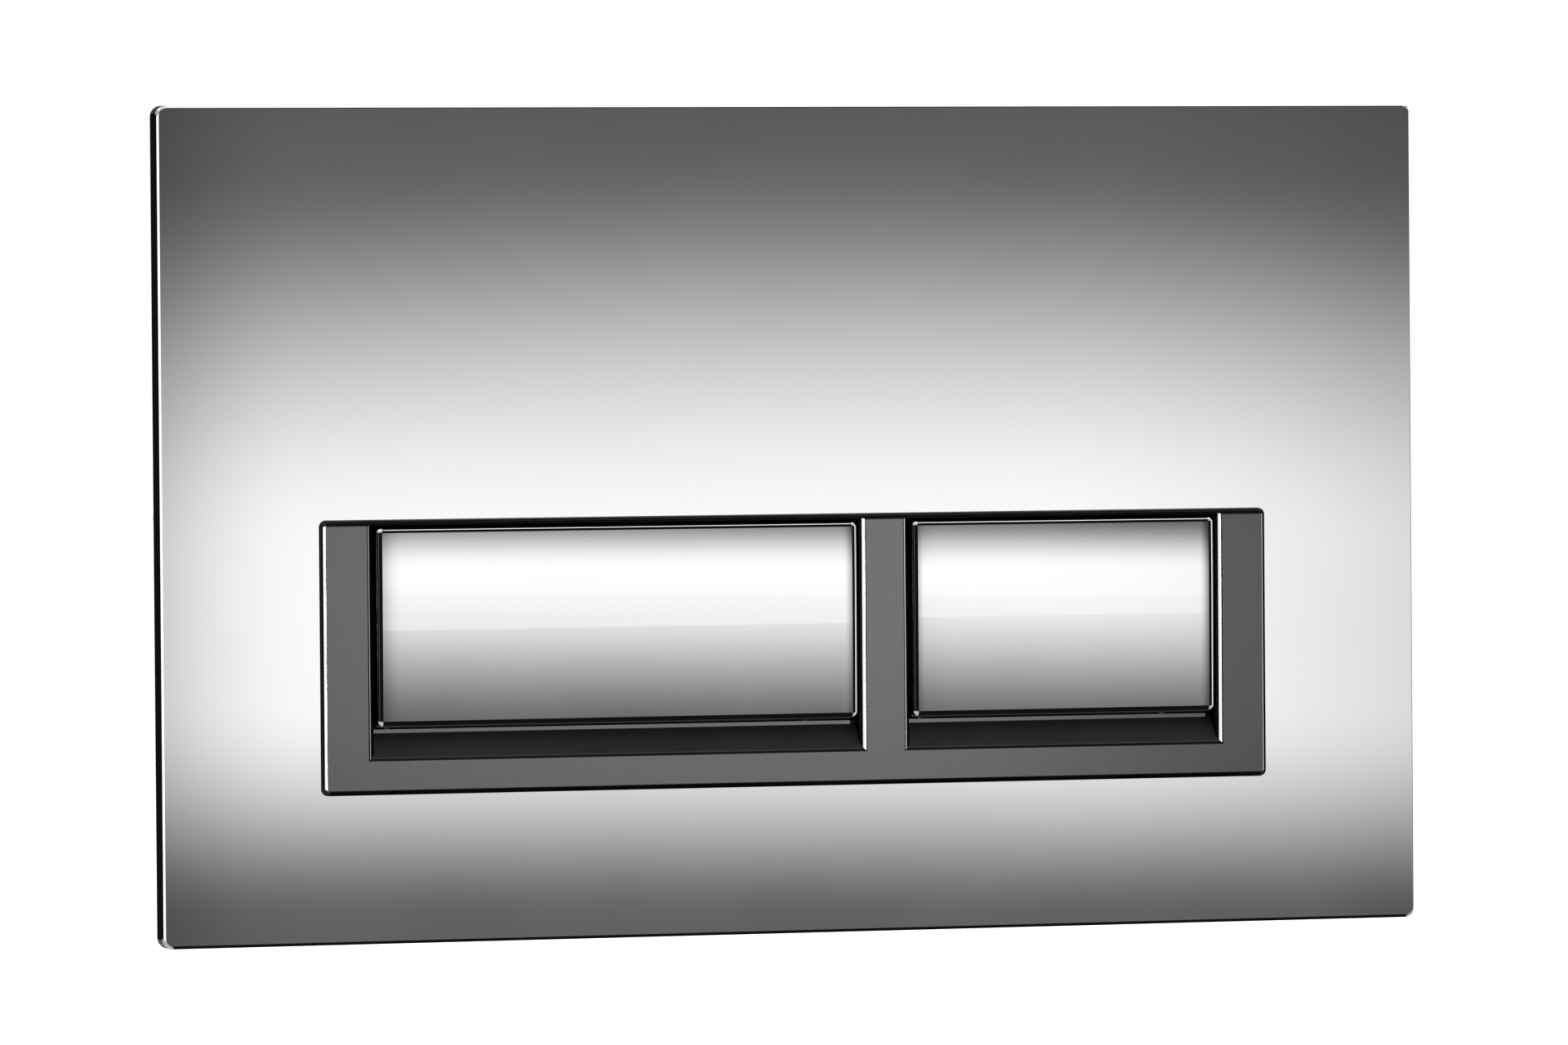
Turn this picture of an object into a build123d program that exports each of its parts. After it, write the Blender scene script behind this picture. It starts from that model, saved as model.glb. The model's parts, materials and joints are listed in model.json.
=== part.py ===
from build123d import *
import os

os.makedirs("parts", exist_ok=True)

# X runs across the plate, Z up, and the room is on the -Y side.
# The wall's face is y = 0 and the origin is the plate's centre on it.
# A level is a distance in front of the wall, so what sits inside the wall has a negative level.

# Cover plate
plate_width = 245.0
plate_height = 155.0
plate_depth = 4.5
plate_wall = 2.2
plate_corner_radius = 2.0
plate_edge_radius = 0.6
plate_rib = 1.2
plate_rib_pitch = 40.0
plate_rib_count = 5
plate_rib_setback = 0.6
plate_rib_margin = 2.0

# Button frame: an insert with two wells, standing proud of the plate
insert_width = 184.45
insert_height = 50.9
insert_drop = 24.47
insert_proud = 1.2
insert_lip = 0.4
insert_seat_gap = 0.05
insert_corner_radius = 1.25
insert_edge_radius = 0.95
side_bar = 9.945
middle_bar = 9.74
top_rail = 1.0
bottom_bar = 6.75
full_well_share = 0.60692
well_edge_radius = 1.2
ramp_rise = 4.45
shelf_strip = 0.79
shelf_level = 1.63
shelf_back = 0.0
bar_back = -2.2
bar_wall = 1.8
ramp_wall = 1.6
hollow_foot_wall = 0.43
hollow_head_wall = 1.2
hollow_shelf_wall = 1.09
hollow_side_wall = 1.0
rear_pocket_width = 5.2
rear_pocket_clear = 5.0
pick_margin = 0.01

# Buttons: chrome caps whose face leans back above and below a crest, with a faint crease further down
button_side_gap = 0.42
button_top_gap = 0.3
button_shelf_gap = 0.45
button_proud = 0.4
button_corner_radius = 1.2
button_edge_radius = 1.15
crest_drop = 7.5
head_fall = 0.067
crease_drop = 18.2
crease_fall = 0.057
foot_fall = 0.21
roll_radius = 417.0
cap_wall = 2.2
cap_skirt = 1.5
skirt_level = 1.9

# Levers and hinges
lever_plate = 1.0
lever_gap = 0.1
pin_radius = 1.0
pin_level = 1.0
pin_drop = 3.88
pin_seat = 3.0
running_clearance = 0.05
pin_notch_gap = 0.4
lug_radius = 1.9
lug_width = 3.0
lug_inset = 8.0
lug_inner = 10.0
post_radius = 2.0
post_drop = 9.8
post_level = 0.2
post_share = 0.3
hook_width = 4.0
hook_inset = 6.0
hook_arm = 1.6
hook_depth = 1.3
hook_gap = 0.3
nose_radius = 4.0
nose_ball = 6.0
nose_level = -3.0

# Return springs: bent strips
strip_width = 8.0
strip_thickness = 0.4
strip_drop = 4.8
strip_leg = 7.0
strip_hook = 1.8

# Rear carrier
carrier_thickness = 2.0
carrier_side_overhang = 5.9
carrier_top_overhang = 7.02
carrier_bottom_overhang = 11.08
carrier_rim = 2.5
carrier_corner_radius = 3.0
window_top_gap = 3.5
window_sill = 1.0
window_margin = 1.5
window_corner_radius = 1.5
hook_slot_drop = 0.5
hook_slot_gap = 0.5
keeper_gap = 0.05
keeper_length = 2.6
screw_radius = 1.2
screw_clearance = 0.1
screw_head_radius = 2.5
screw_head_height = 1.6
screw_reach = 5.6
screw_bore_depth = 5.8
screw_upper_drop = 7.8
screw_lower_rise = 4.92
buffer_head_radius = 2.5
buffer_stem_radius = 1.2
buffer_level = -1.17
snap_x = 60.0
snap_width = 8.0
snap_arm = 1.6
snap_flex = 1.5
snap_barb = 1.2
snap_barb_length = 3.0
snap_side_gap = 0.5
snap_top_inset = 3.2
snap_bottom_inset = 1.4

# Mounting frame in the wall opening
frame_front = -12.0
frame_thickness = 6.0
frame_side_overhang = 9.0
frame_top_inset = 19.5
frame_bottom_overhang = 5.0
frame_side = 10.0
frame_corner_radius = 6.0
frame_window_radius = 4.0
frame_rail = 10.0
frame_bottom_rail = 12.0
rod_bar_above = 6.5
rod_bar_below = 9.0
snap_bar = 10.0
snap_bar_above = 4.2
frame_core_depth = 4.0
frame_core_wall = 2.0
bolt_z = 0.0
bolt_radius = 4.0
bolt_shoulder_radius = 4.2
bolt_shoulder_margin = 0.5
bolt_clearance = 0.1
bolt_boss_radius = 7.5
bolt_boss_rise = 2.0
bolt_flange_radius = 8.0
bolt_flange = 1.5
bolt_knob_radius = 6.5
bolt_knob = 3.5
bolt_slot = 1.4
bolt_slot_depth = 1.5
bolt_end = -70.0
bolt_tip = 1.0

# Push rods
rod_share = 0.2604
rod_rise = 7.48
rod_radius = 3.0
rod_end = -76.0
rod_tip = 0.6
rod_thread_depth = 2.5
head_radius = 6.0
head_length = 5.5
head_edge = 0.6
head_gap = 0.03
guide_radius = 5.0
guide_flange_radius = 8.0
guide_flange = 2.0
guide_front = -12.2
guide_end = -32.0

# Positions that follow from the sizes above
face_level = plate_depth + insert_proud
button_level = face_level + button_proud
insert_top = insert_height / 2 - insert_drop
insert_bottom = -insert_height / 2 - insert_drop
wells_width = insert_width - 2 * side_bar - middle_bar
full_well = full_well_share * wells_width
half_well = wells_width - full_well
full_x = -insert_width / 2 + side_bar + full_well / 2
half_x = insert_width / 2 - side_bar - half_well / 2
wells = ((full_x, full_well), (half_x, half_well))
bars_x = (
    -insert_width / 2 + side_bar / 2,
    full_x + full_well / 2 + middle_bar / 2,
    insert_width / 2 - side_bar / 2,
)
well_top = insert_top - top_rail
ramp_foot = insert_bottom + bottom_bar
ramp_head = ramp_foot + ramp_rise
shelf_edge = ramp_head + shelf_strip
button_top = well_top - button_top_gap
button_bottom = shelf_edge + button_shelf_gap
button_height = button_top - button_bottom
button_z = (button_top + button_bottom) / 2
full_width = full_well - 2 * button_side_gap
half_width = half_well - 2 * button_side_gap
buttons = ((full_x, full_width), (half_x, half_width))
lever_level = button_level - cap_wall
lever_back = lever_level - lever_plate
pin_z = button_top - pin_drop
post_z = pin_z - post_drop
strip_bend_z = pin_z - strip_drop
strip_tip_z = strip_bend_z - strip_leg
window_top = post_z - window_top_gap
window_bottom = button_bottom + window_sill
hook_slot_foot = ramp_head - hook_slot_drop
hook_slot_head = window_bottom + window_corner_radius
screw_upper_z = pin_z - screw_upper_drop
screw_lower_z = insert_bottom + screw_lower_rise
rear_pocket_top = screw_upper_z - rear_pocket_clear
rear_pocket_bottom = screw_lower_z + rear_pocket_clear
rod_z = button_bottom + rod_rise
carrier_back = bar_back - carrier_thickness
carrier_half_width = insert_width / 2 + carrier_side_overhang
carrier_top = insert_top + carrier_top_overhang
carrier_bottom = insert_bottom - carrier_bottom_overhang
carrier_height = carrier_top - carrier_bottom
carrier_z = (carrier_top + carrier_bottom) / 2
plate_inside = plate_depth - plate_wall
snap_top_z = carrier_top - snap_top_inset
snap_bottom_z = carrier_bottom + snap_bottom_inset
rod_x = half_x - rod_share * half_well
frame_half_width = carrier_half_width + frame_side_overhang
frame_back = frame_front - frame_thickness
frame_top = plate_height / 2 - frame_top_inset
frame_bottom = carrier_bottom - frame_bottom_overhang
frame_height = frame_top - frame_bottom
bolt_x = frame_half_width - frame_side / 2
frame_z = (frame_top + frame_bottom) / 2
snap_bar_top = snap_top_z + snap_bar_above
frame_windows = (
    (snap_bar_top, frame_top - frame_rail),
    (rod_z + rod_bar_above, snap_bar_top - snap_bar),
    (frame_bottom + frame_bottom_rail, rod_z - rod_bar_below),
)
screw_spots = [(x, z) for x in bars_x for z in (screw_upper_z, screw_lower_z)]
post_spots = [(x + side * post_share * width, post_z) for x, width in buttons for side in (-1, 1)]
bolt_boss_front = frame_front + bolt_boss_rise
head_front = nose_level - head_gap
head_back = head_front - head_length


def front(level):
    # a plane parallel to the wall: its x is X and its y is Z, and it looks into the room
    return Plane.XZ.offset(level)


def section(x):
    # a plane across the plate: its x is the level and its y is Z
    return Plane(origin=(x, 0, 0), x_dir=(0, -1, 0), z_dir=(-1, 0, 0))


# Cover plate
with BuildPart() as cover_plate:
    with BuildSketch(front(0)):
        RectangleRounded(plate_width, plate_height, plate_corner_radius)
    extrude(amount=plate_depth)
    fillet(cover_plate.faces().sort_by(Axis.Y)[0].edges(), plate_edge_radius)
    with BuildSketch(front(0)):
        RectangleRounded(plate_width - 2 * plate_wall, plate_height - 2 * plate_wall, plate_corner_radius / 2)
    extrude(amount=plate_inside, mode=Mode.SUBTRACT)
    # stiffening ribs above and below the carrier
    upper_rib_foot = carrier_top + plate_rib_margin
    upper_rib_head = plate_height / 2 - plate_wall
    lower_rib_head = carrier_bottom - plate_rib_margin
    lower_rib_foot = -plate_height / 2 + plate_wall
    with BuildSketch(front(plate_rib_setback)):
        for foot, head in ((upper_rib_foot, upper_rib_head), (lower_rib_foot, lower_rib_head)):
            with Locations((0, (foot + head) / 2)):
                with GridLocations(plate_rib_pitch, 1, plate_rib_count, 1):
                    Rectangle(plate_rib, head - foot)
        with Locations((0, (upper_rib_foot + upper_rib_head) / 2)):
            Rectangle(plate_width - 2 * plate_wall, plate_rib)
    extrude(amount=plate_inside - plate_rib_setback)
    with BuildSketch(front(0)):
        with Locations((0, -insert_drop)):
            Rectangle(insert_width - 2 * insert_lip, insert_height - 2 * insert_lip)
    extrude(amount=plate_depth, mode=Mode.SUBTRACT)
cover_plate.part.label = "cover_plate"
export_step(cover_plate.part, "parts/cover_plate.step")

# Button frame
body_inset = insert_lip + insert_seat_gap
with BuildPart() as button_frame:
    with BuildSketch(front(plate_depth)):
        with Locations((0, -insert_drop)):
            RectangleRounded(insert_width, insert_height, insert_corner_radius)
    extrude(amount=insert_proud)
    fillet(button_frame.faces().sort_by(Axis.Y)[0].edges(), insert_edge_radius)
    with BuildSketch(front(bar_back)):
        with Locations((0, -insert_drop)):
            Rectangle(insert_width - 2 * body_inset, insert_height - 2 * body_inset)
    extrude(amount=plate_depth - bar_back)
    for x, width in wells:
        # well, shelf and finger ramp in one section
        with BuildSketch(section(x)):
            Polygon(
                (face_level, well_top),
                (face_level, ramp_foot),
                (shelf_level, ramp_head),
                (shelf_level, well_top),
                align=None,
            )
        extrude(amount=width / 2, both=True, mode=Mode.SUBTRACT)
        # opening that the button swings through
        with BuildSketch(front(bar_back)):
            with Locations((x, (well_top + shelf_edge) / 2)):
                Rectangle(width, well_top - shelf_edge)
        extrude(amount=shelf_level - bar_back, mode=Mode.SUBTRACT)
        # the shelf is a thin step, open behind for the catch hooks
        with BuildSketch(front(bar_back)):
            with Locations((x, (well_top + ramp_head) / 2)):
                Rectangle(width, well_top - ramp_head)
        extrude(amount=shelf_back - bar_back, mode=Mode.SUBTRACT)
        # hollow behind the ramp
        with BuildSketch(section(x)):
            Polygon(
                (bar_back, insert_bottom + body_inset + ramp_wall),
                (face_level - bar_wall, insert_bottom + body_inset + ramp_wall),
                (face_level - bar_wall, ramp_foot - hollow_foot_wall),
                (shelf_level - hollow_shelf_wall, ramp_head - hollow_head_wall),
                (bar_back, ramp_head - hollow_head_wall),
                align=None,
            )
        extrude(amount=width / 2 - hollow_side_wall, both=True, mode=Mode.SUBTRACT)
        # slots for the hinge pin's ends, open to the back
        with BuildSketch(section(x)):
            with Locations((pin_level, pin_z)):
                Circle(pin_radius)
            with Locations(((pin_level + bar_back) / 2, pin_z)):
                Rectangle(pin_level - bar_back, 2 * pin_radius)
        extrude(amount=width / 2 + pin_seat, both=True, mode=Mode.SUBTRACT)
    # hollows behind the upright bars
    with BuildSketch(front(bar_back)):
        with Locations(*[(x, (rear_pocket_top + rear_pocket_bottom) / 2) for x in bars_x]):
            Rectangle(rear_pocket_width, rear_pocket_top - rear_pocket_bottom)
    extrude(amount=face_level - bar_wall - bar_back, mode=Mode.SUBTRACT)
    with Locations(front(bar_back)):
        with Locations(*[(x, z) for x, z in screw_spots]):
            Cylinder(
                screw_radius,
                screw_bore_depth,
                align=(Align.CENTER, Align.CENTER, Align.MIN),
                mode=Mode.SUBTRACT,
            )
    # softened front edges of the wells
    rim = button_frame.faces().sort_by(Axis.Y)[0].edges()
    wells_reach = (insert_width - side_bar) / 2
    well_sides = rim.filter_by(Axis.Z).filter_by(lambda e: abs(e.center().X) < wells_reach)
    well_feet = rim.filter_by(Axis.X).filter_by(lambda e: abs(e.center().Z - ramp_foot) < pick_margin)
    fillet(well_sides + well_feet, well_edge_radius)
button_frame.part.label = "button_frame"
export_step(button_frame.part, "parts/button_frame.step")


def make_cap(name, x, width):
    with BuildPart() as cap:
        with BuildSketch(section(x)):
            with BuildLine():
                Polyline(
                    (button_level - head_fall, button_top),
                    (skirt_level, button_top),
                    (skirt_level, button_bottom),
                    (button_level - foot_fall, button_bottom),
                )
                # foot slope, middle slope and head, blended into one smooth face
                FilletPolyline(
                    (button_level - foot_fall, button_bottom),
                    (button_level - crease_fall, button_top - crease_drop),
                    (button_level, button_top - crest_drop),
                    (button_level - head_fall, button_top),
                    radius=roll_radius,
                )
            make_face()
        extrude(amount=width / 2, both=True)
        fillet(cap.edges().filter_by(Axis.Y), button_corner_radius)
        face_edges = cap.edges().filter_by(lambda e: -e.bounding_box().max.Y > button_level - 2 * foot_fall)
        seams = face_edges.filter_by(Axis.X).sort_by(Axis.Z)[1:-1]
        fillet(face_edges.filter_by(lambda e: e not in seams), button_edge_radius)
        with BuildSketch(front(skirt_level)):
            with Locations((x, button_z)):
                Rectangle(width - 2 * cap_skirt, button_height - 2 * cap_skirt)
        extrude(amount=lever_level - skirt_level, mode=Mode.SUBTRACT)
        # the side skirts step over the hinge pin
        with BuildSketch(section(x)):
            with Locations((pin_level, pin_z)):
                Circle(pin_radius + pin_notch_gap)
        extrude(amount=width / 2, both=True, mode=Mode.SUBTRACT)
    cap.part.label = name
    export_step(cap.part, f"parts/{name}.step")


def make_lever(name, x, width, nose_x):
    inset = cap_skirt + lever_gap
    lug_spots = (lug_inset - width / 2, -lug_inner, lug_inner, width / 2 - lug_inset)
    hook_spots = (hook_inset - width / 2, width / 2 - hook_inset)
    arm_foot = button_bottom + inset
    with BuildPart() as lever:
        with BuildSketch(front(lever_back)):
            with Locations((x, button_z)):
                Rectangle(width - 2 * inset, button_height - 2 * inset)
        extrude(amount=lever_plate)
        # hinge lugs that run on the pin
        for spot in lug_spots:
            with BuildSketch(section(x + spot)):
                with Locations((pin_level, pin_z)):
                    Circle(lug_radius)
                with Locations(((pin_level + lever_back) / 2, pin_z)):
                    Rectangle(lever_back - pin_level, 2 * lug_radius)
                with Locations((pin_level, pin_z)):
                    Circle(pin_radius + running_clearance, mode=Mode.SUBTRACT)
            extrude(amount=lug_width / 2, both=True)
        # posts that land on the buffers
        with BuildSketch(front(post_level)):
            with Locations(*[(x + side * post_share * width, post_z) for side in (-1, 1)]):
                Circle(post_radius)
        extrude(amount=lever_back - post_level)
        # hooks that catch behind the shelf and hold the button in
        for spot in hook_spots:
            with BuildSketch(section(x + spot)):
                Polygon(
                    (lever_back, arm_foot),
                    (lever_back, arm_foot + hook_arm),
                    (shelf_back - hook_depth, arm_foot + hook_arm),
                    (shelf_back - hook_depth, ramp_head + hook_gap),
                    (shelf_back, ramp_head + hook_gap),
                    (shelf_back, arm_foot),
                    align=None,
                )
            extrude(amount=hook_width / 2, both=True)
        # pusher with a round nose
        ball_level = nose_level + nose_ball
        shoulder = ball_level - (nose_ball**2 - nose_radius**2) ** 0.5
        bow = (nose_ball**2 - (nose_radius / 2) ** 2) ** 0.5
        with BuildSketch(section(nose_x)):
            with BuildLine():
                Polyline(
                    (nose_level, rod_z),
                    (lever_back, rod_z),
                    (lever_back, rod_z + nose_radius),
                    (shoulder, rod_z + nose_radius),
                )
                ThreePointArc(
                    (shoulder, rod_z + nose_radius),
                    (ball_level - bow, rod_z + nose_radius / 2),
                    (nose_level, rod_z),
                )
            make_face()
        revolve(axis=Axis((nose_x, 0, rod_z), (0, 1, 0)))
    lever.part.label = name
    export_step(lever.part, f"parts/{name}.step")


def make_hinge_pin(name, x, width):
    with BuildPart() as pin:
        with BuildSketch(section(x)):
            with Locations((pin_level, pin_z)):
                Circle(pin_radius)
        extrude(amount=width / 2 + pin_seat, both=True)
    pin.part.label = name
    export_step(pin.part, f"parts/{name}.step")


def make_return_spring(name, x):
    # one leg lies on the lever, the other on the carrier and hooks round its window's edge
    front_leg = lever_back
    rear_leg = bar_back
    middle = (front_leg + rear_leg) / 2
    bend = (front_leg - rear_leg) / 2
    with BuildPart() as spring:
        with BuildSketch(section(x)):
            with BuildLine():
                Line((front_leg, strip_tip_z), (front_leg, strip_bend_z))
                ThreePointArc(
                    (front_leg, strip_bend_z),
                    (middle, strip_bend_z + bend),
                    (rear_leg, strip_bend_z),
                )
                Polyline(
                    (rear_leg, strip_bend_z),
                    (rear_leg, window_top),
                    (rear_leg - strip_hook, window_top),
                    (rear_leg - strip_hook, window_top - strip_thickness),
                    (rear_leg + strip_thickness, window_top - strip_thickness),
                    (rear_leg + strip_thickness, strip_bend_z),
                )
                ThreePointArc(
                    (rear_leg + strip_thickness, strip_bend_z),
                    (middle, strip_bend_z + bend - strip_thickness),
                    (front_leg - strip_thickness, strip_bend_z),
                )
                Polyline(
                    (front_leg - strip_thickness, strip_bend_z),
                    (front_leg - strip_thickness, strip_tip_z),
                    (front_leg, strip_tip_z),
                )
            make_face()
        extrude(amount=strip_width / 2, both=True)
    spring.part.label = name
    export_step(spring.part, f"parts/{name}.step")


make_cap("full_flush_button", full_x, full_width)
make_cap("half_flush_button", half_x, half_width)
make_lever("full_flush_lever", full_x, full_width, -rod_x)
make_lever("half_flush_lever", half_x, half_width, rod_x)
make_hinge_pin("full_flush_hinge_pin", full_x, full_well)
make_hinge_pin("half_flush_hinge_pin", half_x, half_well)
make_return_spring("full_flush_return_spring", full_x)
make_return_spring("half_flush_return_spring", half_x)

# Rear carrier
with BuildPart() as rear_carrier:
    with BuildSketch(front(carrier_back)):
        with Locations((0, carrier_z)):
            RectangleRounded(2 * carrier_half_width, carrier_height, carrier_corner_radius)
    extrude(amount=plate_inside - carrier_back)
    # only the rim reaches the plate
    with BuildSketch(front(bar_back)):
        with Locations((0, carrier_z)):
            RectangleRounded(
                2 * (carrier_half_width - carrier_rim),
                carrier_height - 2 * carrier_rim,
                carrier_corner_radius - carrier_rim / 2,
            )
    extrude(amount=plate_inside - bar_back, mode=Mode.SUBTRACT)
    for x, width in buttons:
        with BuildSketch(front(carrier_back)):
            with Locations((x, (window_top + window_bottom) / 2)):
                RectangleRounded(width - 2 * window_margin, window_top - window_bottom, window_corner_radius)
            # slots below the sill that the levers' hooks pass through
            with Locations((x, (hook_slot_head + hook_slot_foot) / 2)):
                with GridLocations(width - 2 * hook_inset, 1, 2, 1):
                    Rectangle(hook_width + 2 * hook_slot_gap, hook_slot_head - hook_slot_foot)
        extrude(amount=carrier_thickness, mode=Mode.SUBTRACT)
    # keepers that close the pin slots
    with BuildSketch(front(bar_back)):
        for x, width in wells:
            with Locations(*[(x + side * (width + pin_seat) / 2, pin_z) for side in (-1, 1)]):
                Rectangle(keeper_length, 2 * (pin_radius - keeper_gap))
    extrude(amount=pin_level - pin_radius - bar_back)
    with BuildSketch(front(carrier_back)):
        with Locations(*screw_spots):
            Circle(screw_radius + screw_clearance)
        with Locations(*post_spots):
            Circle(buffer_stem_radius)
    extrude(amount=carrier_thickness, mode=Mode.SUBTRACT)
    # snap hooks that catch behind the mounting frame
    for outer_z, up in ((snap_top_z, 1), (snap_bottom_z, -1)):
        for x in (-snap_x, snap_x):
            with BuildSketch(section(x)):
                Polygon(
                    (carrier_back, outer_z - up * snap_arm),
                    (carrier_back, outer_z),
                    (frame_back, outer_z),
                    (frame_back, outer_z + up * snap_barb),
                    (frame_back - snap_barb_length, outer_z - up * snap_arm / 2),
                    (frame_back - snap_barb_length, outer_z - up * snap_arm),
                    align=None,
                )
            extrude(amount=snap_width / 2, both=True)
rear_carrier.part.label = "rear_carrier"
export_step(rear_carrier.part, "parts/rear_carrier.step")

# Carrier screws
with BuildPart() as carrier_screws:
    with BuildSketch(front(carrier_back)):
        with Locations(*screw_spots):
            Circle(screw_radius)
    extrude(amount=carrier_thickness + screw_reach)
    with BuildSketch(front(carrier_back)):
        with Locations(*screw_spots):
            Circle(screw_head_radius)
    extrude(amount=-screw_head_height)
carrier_screws.part.label = "carrier_screws"
export_step(carrier_screws.part, "parts/carrier_screws.step")

# Stop buffers
with BuildPart() as stop_buffers:
    with BuildSketch(front(bar_back)):
        with Locations(*post_spots):
            Circle(buffer_head_radius)
    extrude(amount=buffer_level - bar_back)
    with BuildSketch(front(carrier_back)):
        with Locations(*post_spots):
            Circle(buffer_stem_radius)
    extrude(amount=carrier_thickness)
stop_buffers.part.label = "stop_buffers"
export_step(stop_buffers.part, "parts/stop_buffers.step")

# Mounting frame
with BuildPart() as mounting_frame:
    with BuildSketch(front(frame_back)):
        with Locations((0, frame_z)):
            RectangleRounded(2 * frame_half_width, frame_height, frame_corner_radius)
        for low, high in frame_windows:
            with Locations((0, (low + high) / 2)):
                RectangleRounded(
                    2 * (frame_half_width - frame_side), high - low, frame_window_radius, mode=Mode.SUBTRACT
                )
    extrude(amount=frame_thickness)
    with BuildSketch(front(frame_back - bolt_boss_rise)):
        with Locations((-bolt_x, bolt_z), (bolt_x, bolt_z)):
            Circle(bolt_boss_radius)
    extrude(amount=frame_thickness + 2 * bolt_boss_rise)
    with BuildSketch(front(frame_back - bolt_boss_rise)):
        with Locations((-bolt_x, bolt_z), (bolt_x, bolt_z)):
            Circle(bolt_shoulder_radius + bolt_clearance)
    extrude(amount=frame_thickness + 2 * bolt_boss_rise, mode=Mode.SUBTRACT)
    with BuildSketch(front(frame_back)):
        with Locations((-rod_x, rod_z), (rod_x, rod_z)):
            Circle(guide_radius)
        # slots for the snap hooks, with room for them to flex
        slot_height = snap_arm + snap_flex
        for slot_z in (snap_top_z - slot_height / 2, snap_bottom_z + slot_height / 2):
            with Locations((-snap_x, slot_z), (snap_x, slot_z)):
                Rectangle(snap_width + 2 * snap_side_gap, slot_height)
    extrude(amount=frame_thickness, mode=Mode.SUBTRACT)
    # the top and bottom rails are hollow behind
    with BuildSketch(front(frame_back)):
        with Locations((0, frame_top - frame_rail / 2)):
            Rectangle(2 * (frame_half_width - frame_side), frame_rail - 2 * frame_core_wall)
        with Locations((0, frame_bottom + frame_bottom_rail / 2)):
            Rectangle(2 * (snap_x - snap_width), frame_bottom_rail - 2 * frame_core_wall)
    extrude(amount=frame_core_depth, mode=Mode.SUBTRACT)
mounting_frame.part.label = "mounting_frame"
export_step(mounting_frame.part, "parts/mounting_frame.step")


def make_fixing_bolt(name, x):
    with BuildPart() as bolt:
        with BuildSketch(front(bolt_end)):
            with Locations((x, bolt_z)):
                Circle(bolt_radius)
        extrude(amount=bolt_boss_front - bolt_end)
        chamfer(bolt.edges().group_by(Axis.Y)[-1], bolt_tip)
        # plain shoulder inside the boss
        with BuildSketch(front(bolt_boss_front)):
            with Locations((x, bolt_z)):
                Circle(bolt_shoulder_radius)
        extrude(amount=-(frame_thickness + 2 * bolt_boss_rise + bolt_shoulder_margin))
        with BuildSketch(front(bolt_boss_front)):
            with Locations((x, bolt_z)):
                Circle(bolt_flange_radius)
        extrude(amount=bolt_flange)
        with BuildSketch(front(bolt_boss_front + bolt_flange)):
            with Locations((x, bolt_z)):
                RegularPolygon(bolt_knob_radius, 6)
        extrude(amount=bolt_knob)
        with BuildSketch(front(bolt_boss_front + bolt_flange + bolt_knob)):
            with Locations((x, bolt_z)):
                Rectangle(2 * bolt_knob_radius, bolt_slot)
        extrude(amount=-bolt_slot_depth, mode=Mode.SUBTRACT)
    bolt.part.label = name
    export_step(bolt.part, f"parts/{name}.step")


def make_rod_guide(name, x):
    with BuildPart() as guide:
        with BuildSketch(front(guide_end)):
            with Locations((x, rod_z)):
                Circle(guide_radius)
        extrude(amount=guide_front - guide_end)
        with BuildSketch(front(frame_back - guide_flange)):
            with Locations((x, rod_z)):
                Circle(guide_flange_radius)
        extrude(amount=guide_flange)
        with BuildSketch(front(guide_end)):
            with Locations((x, rod_z)):
                Circle(rod_radius + running_clearance)
        extrude(amount=guide_front - guide_end, mode=Mode.SUBTRACT)
    guide.part.label = name
    export_step(guide.part, f"parts/{name}.step")


def make_push_rod(name, x):
    with BuildPart() as rod:
        with BuildSketch(front(rod_end)):
            with Locations((x, rod_z)):
                Circle(rod_radius)
        extrude(amount=head_back + rod_thread_depth - rod_end)
        chamfer(rod.edges().group_by(Axis.Y)[-1], rod_tip)
    rod.part.label = name
    export_step(rod.part, f"parts/{name}.step")


def make_rod_head(name, x):
    with BuildPart() as head:
        with BuildSketch(front(head_back)):
            with Locations((x, rod_z)):
                Circle(head_radius)
        extrude(amount=head_length)
        chamfer(head.edges().group_by(Axis.Y)[0], head_edge)
        with BuildSketch(front(head_back)):
            with Locations((x, rod_z)):
                Circle(rod_radius)
        extrude(amount=rod_thread_depth, mode=Mode.SUBTRACT)
    head.part.label = name
    export_step(head.part, f"parts/{name}.step")


make_fixing_bolt("left_fixing_bolt", -bolt_x)
make_fixing_bolt("right_fixing_bolt", bolt_x)
for flush, x in (("full_flush", -rod_x), ("half_flush", rod_x)):
    make_rod_guide(f"{flush}_rod_guide", x)
    make_push_rod(f"{flush}_push_rod", x)
    make_rod_head(f"{flush}_rod_head", x)
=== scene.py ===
import bmesh
import bpy
import json
import math
from mathutils import Matrix, Vector

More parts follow.
